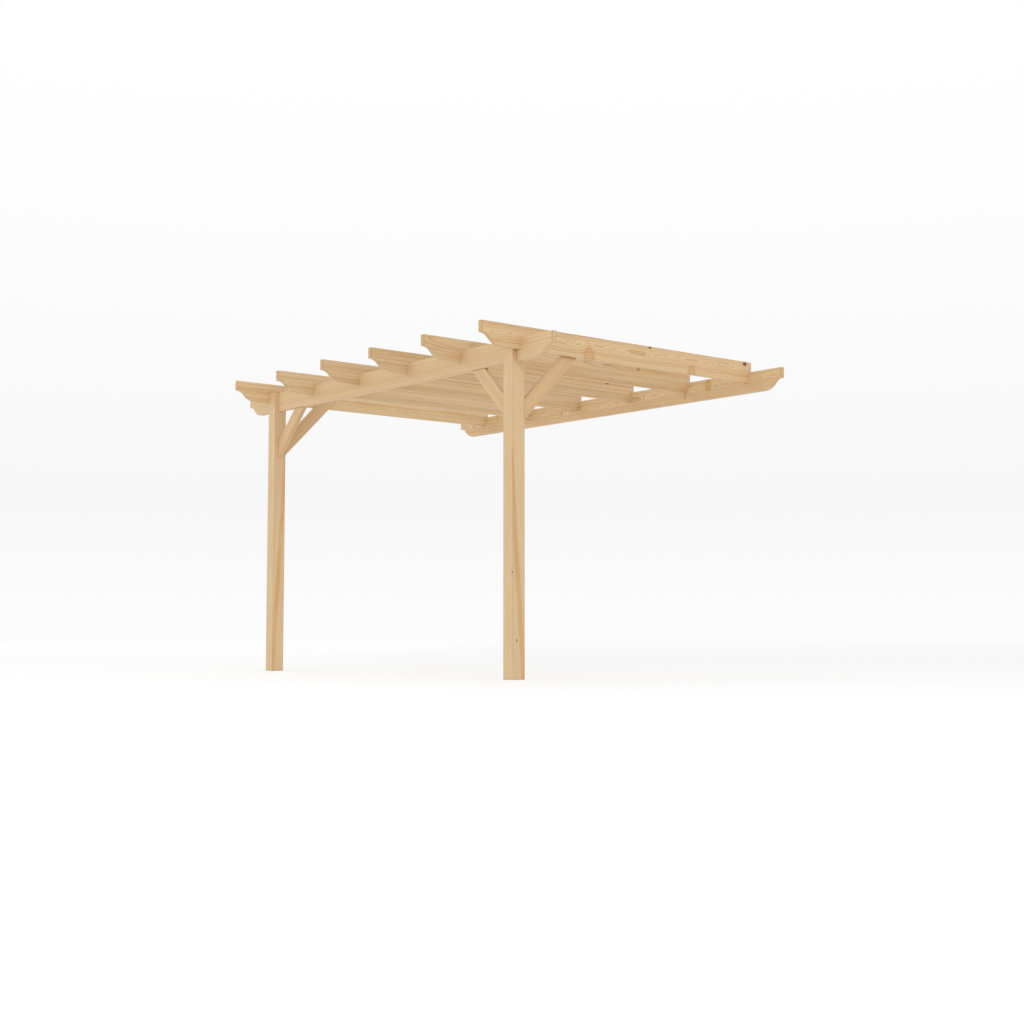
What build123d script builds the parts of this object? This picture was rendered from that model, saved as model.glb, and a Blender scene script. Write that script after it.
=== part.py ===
from build123d import *
from math import atan, degrees, sin
import os

# A wall-mounted garden pergola in planed softwood, in millimetres.
# X runs along the wall, Y runs from the front towards the wall, Z is up.
# The origin is the middle of the back face of the wall beam.

# Timber sections
timber_thickness = 34
timber_depth = 145
post_side = 95
arris_radius = 3

# Lengths and layout
rafter_length = 2400
rafter_count = 6
width_over_rafters = 3000
beam_overhang = 300
front_overhang = 300
post_length = 2100

# Shaped ends: a plumb face, a short shoulder, then a cove and a nose
end_face_height = 72.5
end_shoulder = 5
cove_run = 62
nose_run = 93

# Rafters and beams are halved into each other where they cross
rafter_notch_depth = 36.25
beam_notch_depth = 36.25

# Knee braces at 45 degrees. The drop is from the underside of the beam to
# the place where a brace's upper edge meets the post.
brace_width = 90
brace_drop = 230
rafter_brace_lap = 72.5

# Levels, measured from the middle of the beams
beam_top = timber_depth / 2
beam_bottom = -timber_depth / 2
ground_level = beam_top - post_length
rafter_bottom = beam_top - rafter_notch_depth - beam_notch_depth
rafter_top = rafter_bottom + timber_depth

# Places along and across
beam_length = width_over_rafters + 2 * beam_overhang
wall_beam_y = -timber_thickness / 2
front_beam_y = -rafter_length + front_overhang + timber_thickness / 2
outer_rafter_x = (width_over_rafters - timber_thickness) / 2
rafter_spacing = 2 * outer_rafter_x / (rafter_count - 1)
rafter_xs = [-outer_rafter_x + i * rafter_spacing for i in range(rafter_count)]
post_x = outer_rafter_x - timber_thickness / 2 - post_side / 2
rafter_brace_x = outer_rafter_x - timber_thickness

# The two arcs of an ogee start and end level, so they turn by the same angle
ogee_fall = timber_depth - end_face_height
ogee_slope = 2 * atan(ogee_fall / (cove_run + nose_run))
cove_radius = cove_run / sin(ogee_slope)
nose_radius = nose_run / sin(ogee_slope)


def shaped_end(corner, outward):
    """Draw a shaped end from its top corner down to the underside."""
    toe = corner + Vector(0, -end_face_height)
    Line(corner, toe)
    heel = toe + Vector(-outward * end_shoulder, 0)
    Line(toe, heel)
    turn = outward * degrees(ogee_slope)
    cove = JernArc(heel, (-outward, 0), cove_radius, turn)
    nose = JernArc(cove @ 1, cove % 1, nose_radius, -turn)
    return nose @ 1


def cross_beam(y):
    """A beam with two shaped ends, halved on top for every rafter."""
    with BuildPart() as beam:
        with BuildSketch(Plane.XZ.offset(-y)):
            with BuildLine():
                right_corner = Vector(beam_length / 2, beam_top)
                left_corner = Vector(-beam_length / 2, beam_top)
                right_toe = shaped_end(right_corner, 1)
                left_toe = shaped_end(left_corner, -1)
                Line(right_corner, left_corner)
                Line(right_toe, left_toe)
            make_face()
        extrude(amount=timber_thickness / 2, both=True)
        long_edges = beam.edges().filter_by(Axis.X)
        fillet(long_edges, arris_radius)
        with Locations([(x, y, beam_top) for x in rafter_xs]):
            Box(
                timber_thickness,
                timber_thickness,
                2 * beam_notch_depth,
                mode=Mode.SUBTRACT,
            )
    return beam.part


def rafter(x):
    """A rafter with a shaped front end, halved underneath over both beams."""
    with BuildPart() as stick:
        with BuildSketch(Plane.YZ.offset(x)):
            with BuildLine():
                front_corner = Vector(-rafter_length, rafter_top)
                rear_corner = Vector(0, rafter_top)
                rear_toe = Vector(0, rafter_bottom)
                front_toe = shaped_end(front_corner, -1)
                Line(front_corner, rear_corner)
                Line(rear_corner, rear_toe)
                Line(rear_toe, front_toe)
            make_face()
        extrude(amount=timber_thickness / 2, both=True)
        long_edges = stick.edges().filter_by(Axis.Y)
        fillet(long_edges, arris_radius)
        with Locations([(x, y, rafter_bottom) for y in (front_beam_y, wall_beam_y)]):
            Box(
                timber_thickness,
                timber_thickness,
                2 * rafter_notch_depth,
                mode=Mode.SUBTRACT,
            )
    return stick.part


def post(x):
    """A square post whose forked head holds the front beam."""
    with BuildPart() as upright:
        with BuildSketch(Plane.XY.offset(ground_level)):
            with Locations((x, front_beam_y)):
                RectangleRounded(post_side, post_side, arris_radius)
        extrude(amount=post_length)
        with Locations((x, front_beam_y, beam_top)):
            Box(
                post_side,
                timber_thickness,
                2 * timber_depth,
                mode=Mode.SUBTRACT,
            )
    return upright.part


def brace_outline(foot, direction, head_level):
    """Draw a 45 degree brace: a plumb foot against the post, a level head."""
    high_foot = Vector(foot, beam_bottom - brace_drop)
    low_foot = high_foot + Vector(0, -brace_width * 2**0.5)
    low_head = Vector(foot + direction * (head_level - low_foot.Y), head_level)
    high_head = Vector(foot + direction * (head_level - high_foot.Y), head_level)
    Polyline(low_foot, high_foot, high_head, low_head, close=True)


def beam_brace(side):
    """The brace between a post's inner face and the underside of the beam."""
    with BuildPart() as brace:
        with BuildSketch(Plane.XZ.offset(-front_beam_y)):
            with BuildLine():
                inner_face = side * (post_x - post_side / 2)
                brace_outline(inner_face, -side, beam_bottom)
            make_face()
        extrude(amount=timber_thickness / 2, both=True)
        long_edges = brace.edges().filter_by(Axis((0, 0, 0), (-side, 0, 1)))
        fillet(long_edges, arris_radius)
    return brace.part


def rafter_brace(side):
    """The brace from a post's rear face up the inner face of an end rafter."""
    with BuildPart() as brace:
        with BuildSketch(Plane.YZ.offset(side * rafter_brace_x)):
            with BuildLine():
                rear_face = front_beam_y + post_side / 2
                brace_outline(rear_face, 1, rafter_bottom + rafter_brace_lap)
            make_face()
        extrude(amount=timber_thickness / 2, both=True)
        long_edges = brace.edges().filter_by(Axis((0, 0, 0), (0, 1, 1)))
        fillet(long_edges, arris_radius)
    return brace.part


pieces = {
    "front_beam": cross_beam(front_beam_y),
    "wall_beam": cross_beam(wall_beam_y),
    "left_post": post(-post_x),
    "right_post": post(post_x),
    "left_beam_brace": beam_brace(-1),
    "right_beam_brace": beam_brace(1),
    "left_rafter_brace": rafter_brace(-1),
    "right_rafter_brace": rafter_brace(1),
}
for number, x in enumerate(rafter_xs, start=1):
    pieces[f"rafter_{number}"] = rafter(x)

os.makedirs("parts", exist_ok=True)
for name, piece in pieces.items():
    piece.label = name
    export_step(piece, f"parts/{name}.step")
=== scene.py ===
import math

import bpy
from mathutils import Matrix, Vector


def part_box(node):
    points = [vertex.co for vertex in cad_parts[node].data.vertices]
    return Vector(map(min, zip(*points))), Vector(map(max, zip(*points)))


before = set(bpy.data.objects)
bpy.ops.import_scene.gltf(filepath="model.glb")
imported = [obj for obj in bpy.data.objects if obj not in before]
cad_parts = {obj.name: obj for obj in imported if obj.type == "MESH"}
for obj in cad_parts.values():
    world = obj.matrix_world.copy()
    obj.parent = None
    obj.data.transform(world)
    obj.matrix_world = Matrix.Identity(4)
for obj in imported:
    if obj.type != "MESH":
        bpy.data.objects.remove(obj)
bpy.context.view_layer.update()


# Wall beam
# A planed softwood board on edge, fixed flat to the wall. Both ends are
# routed to an ogee, and its top edge is halved to take the rafters.
def feed(tree, item, inputs):
    """Give a node's inputs their values, or link sockets to them."""
    for name, value in inputs.items():
        if isinstance(value, bpy.types.NodeSocket):
            tree.links.new(value, item.inputs[name])
        else:
            item.inputs[name].default_value = value


def place(tree, kind, inputs, **settings):
    """Add a node, set it and feed it."""
    item = tree.nodes.new(kind)
    for key, value in settings.items():
        setattr(item, key, value)
    feed(tree, item, inputs)
    return item


def sums(tree, operation, *values):
    """One Math node, fed in order, and its result."""
    return place(tree, "ShaderNodeMath", dict(enumerate(values)), operation=operation).outputs[0]


def vectors(tree, operation, *values):
    """One Vector Math node, fed in order, and its vector."""
    return place(tree, "ShaderNodeVectorMath", dict(enumerate(values)), operation=operation).outputs[0]


def measured(tree, operation, *values):
    """One Vector Math node, fed in order, and its number."""
    item = place(tree, "ShaderNodeVectorMath", dict(enumerate(values)), operation=operation)
    return item.outputs["Value"]


def scaled(tree, vector, factor):
    """A vector or colour times a number."""
    return place(tree, "ShaderNodeVectorMath", {0: vector, "Scale": factor}, operation="SCALE").outputs[0]


def split(tree, vector):
    """The three numbers of a vector."""
    return place(tree, "ShaderNodeSeparateXYZ", {0: vector}).outputs


def joined(tree, x, y, z):
    """A vector made of three numbers."""
    return place(tree, "ShaderNodeCombineXYZ", {0: x, 1: y, 2: z}).outputs[0]


def smooth(tree, value, low, high, out_low=0.0, out_high=1.0):
    """A soft step from low to high."""
    inputs = {"Value": value, "From Min": low, "From Max": high, "To Min": out_low, "To Max": out_high}
    return place(tree, "ShaderNodeMapRange", inputs, interpolation_type="SMOOTHSTEP").outputs[0]


def stained(tree, factor, colour, stain, mode="MIX"):
    """A colour laid over another by a mask."""
    inputs = {0: factor, 6: colour, 7: stain}
    return place(tree, "ShaderNodeMix", inputs, data_type="RGBA", blend_type=mode).outputs[2]


def shades(tree, value, stops):
    """Greys along a value that starts at 0. Each stop is the value and its grey."""
    farthest = stops[-1][0]
    ramp = place(tree, "ShaderNodeValToRGB", {"Fac": sums(tree, "DIVIDE", value, farthest)})
    first, last = ramp.color_ramp.elements
    for stop, (at, grey) in ((first, stops[0]), (last, stops[-1])):
        stop.position, stop.color = at / farthest, (grey, grey, grey, 1.0)
    for at, grey in stops[1:-1]:
        ramp.color_ramp.elements.new(at / farthest).color = (grey, grey, grey, 1.0)
    return ramp.outputs[0]


def clouds(tree, point, along, across, seed, detail=2.0, roughness=0.5):
    """Noise about zero, in cycles per metre along and across the grain."""
    spread = vectors(tree, "MULTIPLY_ADD", point, (along, across, across), seed)
    inputs = {"Vector": spread, "Scale": 1.0, "Detail": detail, "Roughness": roughness}
    noise = place(tree, "ShaderNodeTexNoise", inputs).outputs[0]
    return sums(tree, "SUBTRACT", noise, 0.5)


def new_group(name, takes, gives):
    """An empty node group with the inputs and outputs that are listed by kind."""
    tree = bpy.data.node_groups.new(name, "ShaderNodeTree")
    for direction, listed in (("INPUT", takes), ("OUTPUT", gives)):
        for kind, labels in listed.items():
            for label in labels:
                tree.interface.new_socket(label, in_out=direction, socket_type="NodeSocket" + kind)
    return tree, tree.nodes.new("NodeGroupInput").outputs, tree.nodes.new("NodeGroupOutput").inputs


def grouped(tree, group, inputs):
    """One use of a node group, fed by name, and what it gives."""
    return place(tree, "ShaderNodeGroup", inputs, node_tree=group).outputs


# In the space of a board, and of its log, X runs along the grain
lengthwise, crosswise = (1.0, 0.0, 0.0), (0.0, 1.0, 1.0)

# Added to a knot's distance, in its own radii, where there is no knot
no_knot = 20.0

# Colours that multiply the colour of the wood: stains for heartwood and end grain, an edge darkening that is
# mostly painted shade, and painted shade under joints
heartwood_stain = (0.92, 0.78, 0.60, 1.0)
end_grain_stain = (0.97, 0.94, 0.90, 1.0)
edge_darkening = (0.80, 0.72, 0.62, 1.0)
joint_shade_colour = (0.60, 0.52, 0.44, 1.0)


def sawn_faces_group():
    """Masks for cross-cut ends, for darkened edges, and for painted shade under a joint."""
    takes = {
        "Vector": ("Point", "Board Point", "Normal", "Along", "Across", "Through", "Joint Side"),
        "Float": ("Half Length", "Half Thickness", "Arris Shade", "Joint Level", "Joint Reach", "Joint Strength"),
    }
    tree, given, result = new_group("sawn_faces", takes, {"Float": ("End Grain", "Edge", "Joint Shade")})
    endways, edgeways, flatways = (
        sums(tree, "ABSOLUTE", measured(tree, "DOT_PRODUCT", given["Normal"], given[axis]))
        for axis in ("Along", "Across", "Through")
    )
    end_grain = smooth(tree, endways, 0.35, 0.9)
    tree.links.new(end_grain, result["End Grain"])

    # Painted shade browns the arrises and the faces just short of a square end, as at a post's foot, and the
    # rims of the end grain are browned
    brown_from, brown_to = 0.006, 0.002
    arris = smooth(tree, sums(tree, "MULTIPLY", edgeways, flatways), 0.05, 0.3, 0.0, given["Arris Shade"])
    from_middle = split(tree, vectors(tree, "ABSOLUTE", given["Board Point"]))
    under_face = sums(tree, "SUBTRACT", given["Half Thickness"], from_middle[2])
    rim = sums(tree, "MULTIPLY", smooth(tree, under_face, brown_from, brown_to), end_grain)
    short_of_end = sums(tree, "SUBTRACT", given["Half Length"], from_middle[0])
    beside = smooth(tree, short_of_end, brown_from, brown_to)
    beside = sums(tree, "SUBTRACT", beside, sums(tree, "MULTIPLY", beside, end_grain))
    edge = sums(tree, "MAXIMUM", sums(tree, "MAXIMUM", arris, rim), beside)
    tree.links.new(edge, result["Edge"])

    # Below a joint one side of the wood gets painted shade, which fades to its own colour further down
    darkest_at = 0.002
    below = sums(tree, "SUBTRACT", given["Joint Level"], split(tree, given["Point"])[2])
    fading = smooth(tree, below, given["Joint Reach"], darkest_at, 0.0, given["Joint Strength"])
    under = smooth(tree, below, -0.003, -0.001)
    on_side = measured(tree, "DOT_PRODUCT", given["Normal"], given["Joint Side"])
    joint_shade = sums(tree, "MULTIPLY", sums(tree, "MULTIPLY", fading, under), smooth(tree, on_side, 0.3, 0.7))
    tree.links.new(joint_shade, result["Joint Shade"])
    return tree


def heart_line_group():
    """Moves a point of the board to its place around the wandering heart of the log."""
    takes = {"Vector": ("Point", "Heart", "Lean"), "Float": ("Wander", "Seed")}
    tree, given, result = new_group("heart_line", takes, {"Vector": ("Log Point",)})
    bends_per_metre = 0.9
    along = split(tree, given["Point"])[0]
    drift_at = sums(tree, "MULTIPLY_ADD", along, bends_per_metre, given["Seed"])
    inputs = {"W": drift_at, "Scale": 1.0, "Detail": 3.0}
    drift = place(tree, "ShaderNodeTexNoise", inputs, noise_dimensions="1D").outputs["Color"]
    drift = vectors(tree, "SUBTRACT", drift, (0.5, 0.5, 0.5))
    centre = vectors(tree, "ADD", given["Heart"], scaled(tree, drift, given["Wander"]))
    centre = vectors(tree, "ADD", centre, scaled(tree, given["Lean"], along))
    centre = vectors(tree, "MULTIPLY", centre, crosswise)
    tree.links.new(vectors(tree, "SUBTRACT", given["Point"], centre), result["Log Point"])
    return tree


def pin_knots_group():
    """Small branches at random, as cones that leave the heart of the log."""
    takes = {"Vector": ("Log Point",), "Float": ("Spacing", "Radius", "Share", "Seed")}
    tree, given, result = new_group("pin_knots", takes, {"Float": ("Nearest", "Dead")})
    unrolled_at = 0.08
    smallest, most_dead = 0.3, 0.6
    along, across, through = split(tree, given["Log Point"])
    turn = sums(tree, "MULTIPLY", sums(tree, "ARCTAN2", through, across), unrolled_at)
    unrolled = vectors(tree, "DIVIDE", joined(tree, along, turn, 0.0), given["Spacing"])
    unrolled = vectors(tree, "ADD", unrolled, given["Seed"])
    cells = place(tree, "ShaderNodeTexVoronoi", {"Vector": unrolled, "Scale": 1.0}, voronoi_dimensions="2D")
    chance, size, age = place(tree, "ShaderNodeSeparateColor", {0: cells.outputs["Color"]}).outputs
    size = sums(tree, "MULTIPLY_ADD", size, 1.0 - smallest, smallest)
    radius = sums(tree, "MULTIPLY", given["Radius"], size)
    away = sums(tree, "MULTIPLY", cells.outputs["Distance"], given["Spacing"])
    none_here = sums(tree, "MULTIPLY", sums(tree, "GREATER_THAN", chance, given["Share"]), no_knot)
    tree.links.new(sums(tree, "ADD", sums(tree, "DIVIDE", away, radius), none_here), result["Nearest"])
    tree.links.new(sums(tree, "MULTIPLY", age, most_dead), result["Dead"])
    return tree


def knot_group():
    """One branch from its root out through a chosen place, measured in its own radii."""
    takes = {
        "Vector": ("Point", "Place", "Root"),
        "Float": ("Nearest", "Dead", "Radius", "Height", "Own Dead"),
    }
    tree, given, result = new_group("knot", takes, {"Float": ("Nearest", "Dead")})
    outwards = vectors(tree, "SUBTRACT", given["Place"], given["Root"])
    outwards = vectors(tree, "MULTIPLY", outwards, crosswise)
    reach = measured(tree, "LENGTH", outwards)
    branch = vectors(tree, "NORMALIZE", outwards)
    station = vectors(tree, "MULTIPLY", given["Place"], lengthwise)
    offset = vectors(tree, "SUBTRACT", vectors(tree, "SUBTRACT", given["Point"], given["Root"]), station)
    out = measured(tree, "DOT_PRODUCT", offset, branch)
    away = vectors(tree, "SUBTRACT", offset, scaled(tree, branch, out))
    away = vectors(tree, "MULTIPLY", away, joined(tree, given["Height"], 1.0, 1.0))
    away = measured(tree, "LENGTH", away)

    # A branch thickens outwards, and runs from its root to twice its reach
    thinnest, thickest = 0.15, 1.5
    thick = sums(tree, "MAXIMUM", sums(tree, "DIVIDE", out, reach), thinnest)
    thick = sums(tree, "MINIMUM", thick, thickest)
    half_height = sums(tree, "MULTIPLY", given["Radius"], given["Height"])
    radii = sums(tree, "DIVIDE", away, sums(tree, "MULTIPLY", half_height, thick))
    beyond = sums(tree, "GREATER_THAN", sums(tree, "ABSOLUTE", sums(tree, "SUBTRACT", out, reach)), reach)
    radii = sums(tree, "MULTIPLY_ADD", beyond, no_knot, radii)

    # The nearest of the knots says how dead the wood is, and those that touch run together
    changeover, merging = 0.2, 0.3
    nearer = smooth(tree, sums(tree, "SUBTRACT", given["Nearest"], radii), -changeover, changeover)
    change = sums(tree, "SUBTRACT", given["Own Dead"], given["Dead"])
    tree.links.new(sums(tree, "MULTIPLY_ADD", nearer, change, given["Dead"]), result["Dead"])
    tree.links.new(sums(tree, "SMOOTH_MIN", given["Nearest"], radii, merging), result["Nearest"])
    return tree


def growth_group():
    """Growth rings, fibres and knots of planed softwood, cut as a solid."""
    takes = {
        "Vector": ("Log Point",),
        "Float": ("Nearest", "Dead", "Ring Width", "Figure", "Contrast", "Streaks", "Heartwood", "Seed",
                  "End Grain", "Edge", "Joint Shade"),
        "Color": ("Early Wood", "Late Wood", "Live Knot", "Dead Knot"),
    }
    gives = {"Color": ("Color",), "Float": ("Roughness", "Height")}
    tree, given, result = new_group("growth", takes, gives)
    point, seed, nearest = given["Log Point"], given["Seed"], given["Nearest"]
    radius = measured(tree, "LENGTH", vectors(tree, "MULTIPLY", point, crosswise))

    # Swells and hollows of the trunk turn straight grain into loops and arches
    ripple_height = 0.004
    knot_swelling, swelling_fade = 0.011, -0.22
    warp = sums(tree, "MULTIPLY", clouds(tree, point, 3.0, 7.0, seed), given["Figure"])
    ripple = sums(tree, "MULTIPLY", clouds(tree, point, 9.0, 40.0, seed), ripple_height)
    swell = sums(tree, "MULTIPLY", sums(tree, "POWER", nearest, 2.0), swelling_fade)
    grown = sums(tree, "ADD", sums(tree, "ADD", radius, warp), ripple)
    grown = sums(tree, "MULTIPLY_ADD", sums(tree, "EXPONENT", swell), knot_swelling, grown)

    # Rings are wider in some spells than in others, and each is pale first and then darkens
    spells_per_metre, rings_per_spell = 45.0, 3.0
    season_greys = ((0.0, 0.5), (0.07, 0.06), (0.4, 0.1), (0.74, 0.5), (0.93, 1.0), (1.0, 0.5))
    faintest = 0.3
    spell_at = sums(tree, "MULTIPLY_ADD", grown, spells_per_metre, seed)
    inputs = {"W": spell_at, "Scale": 1.0, "Detail": 2.0}
    spell = place(tree, "ShaderNodeTexNoise", inputs, noise_dimensions="1D").outputs[0]
    years = sums(tree, "DIVIDE", grown, given["Ring Width"])
    years = sums(tree, "MULTIPLY_ADD", spell, rings_per_spell, years)
    late = shades(tree, sums(tree, "FRACT", years), season_greys)
    year = sums(tree, "FLOOR", years)
    strength = place(tree, "ShaderNodeTexWhiteNoise", {"W": year}, noise_dimensions="1D").outputs[0]
    strength = sums(tree, "MULTIPLY_ADD", strength, 1.0 - faintest, faintest)
    late = sums(tree, "MULTIPLY", late, strength)

    # Fibres run the length of the board, in fine lines and in soft broad bands
    line_share, band_share = 0.8, 0.9
    least_late = 0.1
    fine = clouds(tree, point, 4.0, 520.0, seed, 3.0, 0.6)
    lines = clouds(tree, point, 1.2, 120.0, seed, 3.0, 0.6)
    bands = clouds(tree, point, 0.6, 26.0, seed, 3.0)
    patches = clouds(tree, point, 2.5, 9.0, seed, 3.0)
    drawn = sums(tree, "MULTIPLY_ADD", bands, band_share, sums(tree, "MULTIPLY", lines, line_share))
    darker = sums(tree, "MULTIPLY", late, given["Contrast"])
    darker = sums(tree, "MULTIPLY_ADD", drawn, given["Streaks"], darker)
    darker = sums(tree, "MAXIMUM", sums(tree, "ADD", darker, least_late), 0.0)
    colour = stained(tree, darker, given["Early Wood"], given["Late Wood"])

    # The heartwood is browner, with a ragged outside
    raggedness = 0.022
    inner = sums(tree, "SUBTRACT", given["Heartwood"], sums(tree, "MULTIPLY_ADD", bands, raggedness, grown))
    inner = smooth(tree, inner, -0.005, 0.003)
    colour = stained(tree, inner, colour, heartwood_stain, "MULTIPLY")

    # No stretch has quite the tone of the next, and resin ducts show as short fine lines
    fine_share, patch_share = 0.14, 0.10
    tone = sums(tree, "MULTIPLY_ADD", fine, fine_share, 1.0)
    tone = sums(tree, "MULTIPLY_ADD", patches, patch_share, tone)
    colour = scaled(tree, colour, tone)
    resin = smooth(tree, clouds(tree, point, 14.0, 620.0, seed, 0.0), 0.3, 0.4, 0.0, 0.4)
    colour = stained(tree, resin, colour, given["Live Knot"])

    # A live knot is a pale brown whorl with a browner outline, a dead one a dark plug with a rim
    outline_share, rim_share = 0.4, -0.3
    whorl_turns, whorl_share = 18.0, 0.1
    halo = smooth(tree, nearest, 2.0, 0.8, 0.0, 0.3)
    colour = stained(tree, halo, colour, given["Late Wood"])
    outline = sums(tree, "MULTIPLY", smooth(tree, nearest, 0.6, 0.95), smooth(tree, nearest, 1.25, 1.0))
    whorl = smooth(tree, nearest, 1.2, 0.7, 0.0, 0.2)
    whorl = sums(tree, "MULTIPLY_ADD", outline, outline_share, whorl)
    plug = smooth(tree, nearest, 1.15, 0.8)
    dead = smooth(tree, given["Dead"], 0.2, 0.7)
    core = sums(tree, "MULTIPLY_ADD", sums(tree, "SUBTRACT", plug, whorl), dead, whorl)
    turns = sums(tree, "SINE", sums(tree, "MULTIPLY", nearest, whorl_turns))
    knot_tone = sums(tree, "MULTIPLY_ADD", turns, whorl_share, 1.0)
    knot_tone = sums(tree, "MULTIPLY_ADD", sums(tree, "MULTIPLY", outline, dead), rim_share, knot_tone)
    knot_colour = stained(tree, given["Dead"], given["Live Knot"], given["Dead Knot"])
    colour = stained(tree, core, colour, scaled(tree, knot_colour, knot_tone))

    # End grain drinks in light, the edges are browned, mostly as painted shade, and the wood under a joint
    # gets painted shade
    colour = stained(tree, given["End Grain"], colour, end_grain_stain, "MULTIPLY")
    colour = stained(tree, given["Edge"], colour, edge_darkening, "MULTIPLY")
    colour = stained(tree, given["Joint Shade"], colour, joint_shade_colour, "MULTIPLY")
    tree.links.new(colour, result["Color"])

    # Late wood and knots plane smoother than early wood, and end grain stays rougher
    planed, for_late_wood, for_end_grain, for_knots = 0.5, -0.08, 0.15, -0.12
    late_wood_rise = 0.5
    rough = sums(tree, "MULTIPLY_ADD", late, for_late_wood, planed)
    rough = sums(tree, "MULTIPLY_ADD", given["End Grain"], for_end_grain, rough)
    tree.links.new(sums(tree, "MULTIPLY_ADD", core, for_knots, rough), result["Roughness"])
    tree.links.new(sums(tree, "MULTIPLY_ADD", late, late_wood_rise, fine), result["Height"])
    return tree


sawn_faces = sawn_faces_group()
heart_line = heart_line_group()
pin_knots = pin_knots_group()
knot = knot_group()
growth = growth_group()

planed_colours = {
    "Early Wood": (0.775, 0.568, 0.326),
    "Late Wood": (0.545, 0.296, 0.104),
    "Live Knot": (0.560, 0.270, 0.050),
    "Dead Knot": (0.200, 0.058, 0.006),
}
pin_spacing, pin_radius = 0.16, 0.0055
relief_depth, relief_strength = 0.0004, 0.5
out_of_reach = 10.0


def softwood(node, along, across, heart, seed, lean=(0.0, 0.008, 0.003), wander=0.02, ring_width=0.0055,
             figure=0.012, contrast=0.55, streaks=0.4, heartwood=0.0, knots=(), root=None, pin_share=0.06,
             shade=1.0, warmth=0.0, arris_shade=0.3, joint_shade=None):
    """Saw one board from its own log.

    The heart of the log is given in metres across and through the board. A
    knot has its place on the board, its radius along the grain, its height
    over its length, and how dead it is, from 0 to 1. It grows from the root, or
    else from the heart. A joint shade has its level, the side that gets painted
    shade below it, how far down that reaches, and how strong it is.
    """
    low, high = (Vector(corner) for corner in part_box(node))
    along, across = Vector(along).normalized(), Vector(across).normalized()
    turn = Matrix((along, across, along.cross(across)))
    half_length, half_thickness = (abs((high - low).dot(turn[side])) / 2 for side in (0, 2))
    material = bpy.data.materials.new(node + "_softwood")
    material.use_nodes = True
    tree = material.node_tree

    # The place on the board is measured from its middle, along, across and through it
    where = tree.nodes.new("ShaderNodeTexCoord").outputs["Object"]
    settled = {"Vector": where, "Location": -(turn @ ((low + high) / 2)), "Rotation": turn.to_euler()}
    board = place(tree, "ShaderNodeMapping", settled).outputs[0]

    # An end that is sawn aslant isn't browned beside it, so it is put out of reach
    if max(along) < 0.99:
        half_length = out_of_reach
    facing = tree.nodes.new("ShaderNodeNewGeometry").outputs["Normal"]
    sides = {"Point": where, "Board Point": board, "Normal": facing, "Along": turn[0], "Across": turn[1],
             "Through": turn[2], "Half Length": half_length, "Half Thickness": half_thickness, "Arris Shade": arris_shade}
    if joint_shade:
        labels = ("Joint Level", "Joint Side", "Joint Reach", "Joint Strength")
        sides.update(zip(labels, joint_shade))
    # Masks for the end grain, for edges darkened mostly as painted shade, and for painted shade under a
    # joint
    end_grain, edge, painted_joint_shade = grouped(tree, sawn_faces, sides)

    # Chosen knots are added to the pin knots of the log one after the other
    middle = (0.0, *heart)
    line = {"Point": board, "Heart": middle, "Lean": lean, "Wander": wander, "Seed": seed}
    log = grouped(tree, heart_line, line)[0]
    pins = {"Log Point": log, "Spacing": pin_spacing, "Radius": pin_radius, "Share": pin_share, "Seed": seed}
    nearest, dead = grouped(tree, pin_knots, pins)
    for spot, radius, height, own_dead in knots:
        branch = {"Nearest": nearest, "Dead": dead, "Point": board, "Place": spot, "Root": root or middle,
                  "Radius": radius, "Height": height, "Own Dead": own_dead}
        nearest, dead = grouped(tree, knot, branch)

    # Warmth takes its share from the green, and from the blue twice over
    tint = (shade, shade * (1.0 - warmth), shade * (1.0 - warmth) ** 2)
    colours = {name: [part * level for part, level in zip(colour, tint)] + [1.0]
               for name, colour in planed_colours.items()}
    grain = grouped(tree, growth, {
        "Log Point": log, "Nearest": nearest, "Dead": dead, "Ring Width": ring_width, "Figure": figure,
        "Contrast": contrast, "Streaks": streaks, "Heartwood": heartwood, "Seed": seed,
        "End Grain": end_grain, "Edge": edge, "Joint Shade": painted_joint_shade, **colours,
    })
    bumps = {"Height": grain["Height"], "Distance": relief_depth, "Strength": relief_strength}
    relief = place(tree, "ShaderNodeBump", bumps).outputs[0]
    surface = {"Base Color": grain["Color"], "Roughness": grain["Roughness"], "Normal": relief,
               "Specular IOR Level": 0.5}
    feed(tree, tree.nodes["Principled BSDF"], surface)
    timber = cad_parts[node]
    timber.data.materials.clear()
    timber.data.materials.append(material)


to_right, to_wall, upwards = (1, 0, 0), (0, 1, 0), (0, 0, 1)
beam_low, beam_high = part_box("wall_beam")
board_face = (beam_high[1] - beam_low[1]) / 2
softwood(
    "wall_beam", to_right, upwards, heart=(0.01, -0.045), seed=3.1, figure=0.04, contrast=1.0, shade=1.02,
    knots=(
        ((1.120, 0.022, board_face), 0.027, 1.3, 0.15),
        ((0.889, -0.029, board_face), 0.012, 1.0, 0.0),
        ((-0.481, 0.007, board_face), 0.010, 1.6, 0.15),
        ((-1.293, 0.045, board_face), 0.008, 2.2, 0.2),
    ),
)


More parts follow.
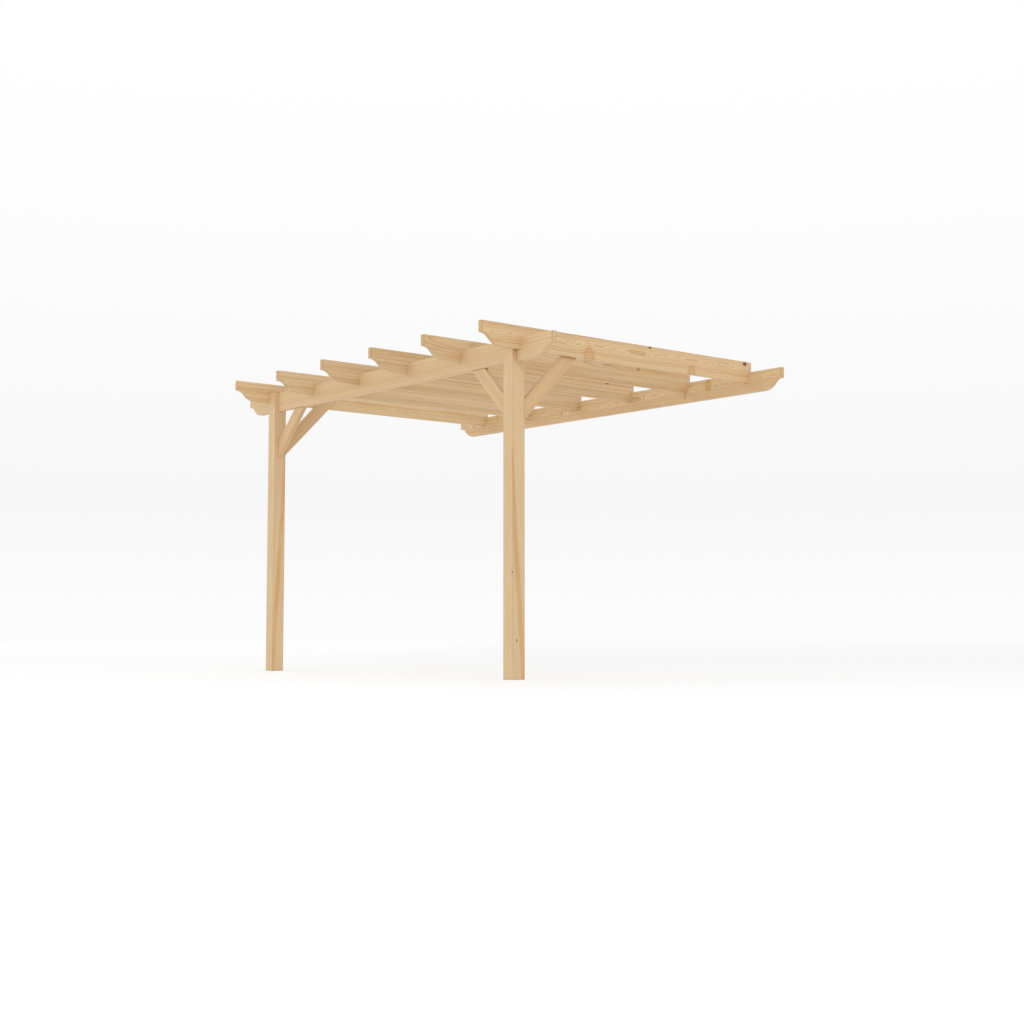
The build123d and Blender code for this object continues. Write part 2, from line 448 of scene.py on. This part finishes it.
# Posts
# Two square softwood posts, planed with eased arrises. Each head is forked
# to a third of its width, and the front beam sits in the fork.
to_left = (-1, 0, 0)
# The outer face of each post gets painted shade under its end rafter, fading out further down
left_post_joint, right_post_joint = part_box("rafter_1")[0][2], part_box("rafter_6")[0][2]
rafter_shade_reach, rafter_shade_strength = 0.12, 0.5
post_low, post_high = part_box("right_post")
post_face = (post_high[0] - post_low[0]) / 2
# The posts share their wood, and their arrises get the strongest painted shade
post_wood = dict(
    wander=0.012, contrast=0.4, streaks=0.5, heartwood=0.028, pin_share=0.0, shade=0.99, arris_shade=1.0,
)
softwood(
    "left_post", upwards, to_right, heart=(0.072, 0.016), seed=11.7, lean=(0.0, 0.0, 0.059),
    joint_shade=(left_post_joint, to_left, rafter_shade_reach, rafter_shade_strength), **post_wood,
)
softwood(
    "right_post", upwards, to_right, heart=(0.072, -0.040), seed=17.3, lean=(0.0, 0.0, -0.0745),
    joint_shade=(right_post_joint, to_right, rafter_shade_reach, rafter_shade_strength), root=(0.0, 0.0, 0.0),
    knots=(
        ((-0.396, 0.0415, -post_face), 0.006, 0.7, 1.0),
        ((-0.812, post_face, -0.017), 0.008, 0.5, 0.9),
        ((0.879, post_face, 0.020), 0.024, 0.09, 0.3),
    ),
    **post_wood,
)


# Front beam
# The same board as the wall beam, on edge in the forks of the posts. It is
# halved on top for the rafters, and both ends are routed to an ogee.
softwood(
    "front_beam", to_right, upwards, heart=(-0.17, -0.05), seed=23.9, ring_width=0.012, contrast=0.5,
    streaks=0.6, shade=0.995,
)


# Rafters
# Six boards on edge, halved underneath to drop over both beams. The front
# ends are routed to an ogee, and the rear ends are sawn square at the wall.
straight = (0.0, 0.0, 0.0)
# The inner rafters are a little darker than the end ones, partly their own tone and partly painted shade
# under the roof
rafter_logs = {
    1: dict(heart=(0.002, 0.024), lean=straight, heartwood=0.007, streaks=1.5, shade=1.02),
    2: dict(heart=(-0.15, -0.02), lean=straight, streaks=1.1, shade=0.98),
    3: dict(heart=(0.12, -0.05), lean=straight, streaks=1.1, shade=0.96),
    4: dict(heart=(0.044, 0.022), lean=straight, heartwood=0.008, streaks=0.9, shade=0.95,
            knots=(((0.925, 0.044, board_face), 0.020, 0.35, 0.6),)),
    5: dict(heart=(0.047, 0.0545), lean=(0.0, 0.0, -0.045), heartwood=0.014, streaks=0.9, shade=0.98,
            knots=(((0.678, 0.046, board_face), 0.018, 0.6, 0.45),)),
}
for number, log in rafter_logs.items():
    softwood(
        f"rafter_{number}", to_wall, upwards, seed=31.0 + 7.7 * number, wander=0.006, ring_width=0.013,
        contrast=0.8, root=(0.0, 0.045, -0.045), **log,
    )
softwood(
    "rafter_6", to_wall, upwards, heart=(0.02, -0.045), seed=77.2, figure=0.04, contrast=1.1, shade=1.035,
    knots=(
        ((1.136, 0.055, board_face), 0.018, 0.68, 1.0),
        ((0.214, 0.068, board_face), 0.013, 0.7, 1.0),
        ((-0.328, -0.035, board_face), 0.036, 1.05, 0.05),
        ((0.605, -0.049, board_face), 0.028, 1.1, 0.05),
    ),
)


# Knee braces
# Short boards at 45 degrees. Two stand under the front beam, and two run
# from the backs of the posts up the inner faces of the end rafters.
to_front = (0, -1, 0)
beam_joint, rafter_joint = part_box("front_beam")[0][2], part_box("rafter_6")[0][2]
# The beam braces' front faces and the rafter braces' outer faces get a thin line of painted shadow just
# below the timber that each head meets
shade_line_reach, shade_line_strength = 0.009, 1.0
brace_wood = dict(ring_width=0.011, streaks=0.9)
for side, sign in (("left", -1), ("right", 1)):
    rising_in, square_in = (-sign, 0, 1), (sign, 0, 1)
    softwood(
        f"{side}_beam_brace", rising_in, square_in, heart=(0.10, -0.04), seed=91.0 + 5 * sign, shade=0.97,
        warmth=0.03, joint_shade=(beam_joint, to_front, shade_line_reach, shade_line_strength), **brace_wood,
    )
    rising_back, square_back = (0, 1, 1), (0, -1, 1)
    softwood(
        f"{side}_rafter_brace", rising_back, square_back, heart=(-0.10, 0.04), seed=71.0 + 9 * sign,
        shade=0.95, warmth=0.06, joint_shade=(rafter_joint, (sign, 0, 0), shade_line_reach, shade_line_strength), **brace_wood,
    )


# Studio
# A plain pale floor under soft light, and the camera at the photograph's
# viewing angle, low in front of the right-hand corner and tilted up a little.
def seen_directly(tree):
    """1 for what the camera sees, also in gloss and through glass, and 0 for light on the object."""
    rays = tree.nodes.new("ShaderNodeLightPath").outputs
    seen = sums(tree, "MAXIMUM", rays["Is Camera Ray"], rays["Is Glossy Ray"])
    return sums(tree, "MAXIMUM", seen, rays["Is Transmission Ray"])


ground = post_low[2]
eye_height = 0.2924
standpoint = Vector((8.7997, -8.1397, ground + eye_height))
turned, tilted = math.radians(50.7019), math.radians(4.3935)
forward = (-math.sin(turned), math.cos(turned), 0.0)
sideways = (math.cos(turned), math.sin(turned), 0.0)

bpy.ops.object.select_all(action="DESELECT")
bpy.ops.mesh.primitive_plane_add(size=60.0, location=(0.0, 0.0, ground))
floor = bpy.context.object
floor.name = "studio_floor"
floor.visible_shadow = False
paper = bpy.data.materials.new("studio_paper")
paper.use_nodes = True
tree = paper.node_tree

# The floor shows greys by the metres over it from the standpoint: painted shade darkens it from under the
# object to well behind it, and it is a little paler on the left
floor_greys = (
    (0.0, 0.29), (7.2, 0.28), (8.6, 0.245), (11.0, 0.225), (16.0, 0.20), (27.0, 0.215), (40.0, 0.225),
)
spot = vectors(tree, "SUBTRACT", tree.nodes.new("ShaderNodeNewGeometry").outputs["Position"], standpoint)
glow = shades(tree, measured(tree, "DOT_PRODUCT", spot, forward), floor_greys)
paler = smooth(tree, measured(tree, "DOT_PRODUCT", spot, sideways), -3.0, 0.5, 0.04, 0.0)
glow = scaled(tree, vectors(tree, "ADD", glow, paler), seen_directly(tree))
feed(tree, tree.nodes["Principled BSDF"], {
    "Base Color": (0.9, 0.9, 0.9, 1.0), "Roughness": 0.9, "Specular IOR Level": 0.0,
    "Emission Color": glow, "Emission Strength": 1.0,
})
floor.data.materials.append(paper)

# The backdrop shows greys by height over the horizon, and an even light from it reaches the object
backdrop_greys = (
    (0.0, 0.98), (0.081, 0.93), (0.137, 0.947), (0.194, 0.965), (0.252, 0.982), (0.342, 1.0), (0.4, 1.0),
)
sky_light = (0.75, 0.75, 0.75, 1.0)
world = bpy.data.worlds.new("studio")
bpy.context.scene.world = world
world.use_nodes = True
sky = world.node_tree
height = split(sky, sky.nodes.new("ShaderNodeTexCoord").outputs["Generated"])[2]
backdrop = stained(sky, seen_directly(sky), sky_light, shades(sky, height, backdrop_greys))
feed(sky, sky.nodes["Background"], {"Color": backdrop})

# Three broad lamps, each with its strength, its spread in degrees, and where it shines from
lamps = {
    "side_light": (0.59, 50, (0.9, -0.25, 0.15)),
    "front_light": (0.53, 50, (-0.2, -1.0, 0.15)),
    "floor_light": (0.90, 90, (0.2, -0.2, -1.0)),
}
for name, (strength, spread, source) in lamps.items():
    light = bpy.data.lights.new(name, "SUN")
    light.energy = strength
    light.angle = math.radians(spread)
    lamp = bpy.data.objects.new(name, light)
    lamp.rotation_euler = Vector(source).to_track_quat("Z", "Y").to_euler()
    bpy.context.collection.objects.link(lamp)

lens = bpy.data.cameras.new("camera")
lens.sensor_width = 36.0
lens.lens = 54.71
lens.clip_end = 200.0
camera = bpy.data.objects.new("camera", lens)
camera.location = standpoint
camera.rotation_euler = (math.pi / 2 + tilted, 0.0, turned)
bpy.context.collection.objects.link(camera)
bpy.context.scene.camera = camera
bpy.context.scene.view_settings.view_transform = "Standard"
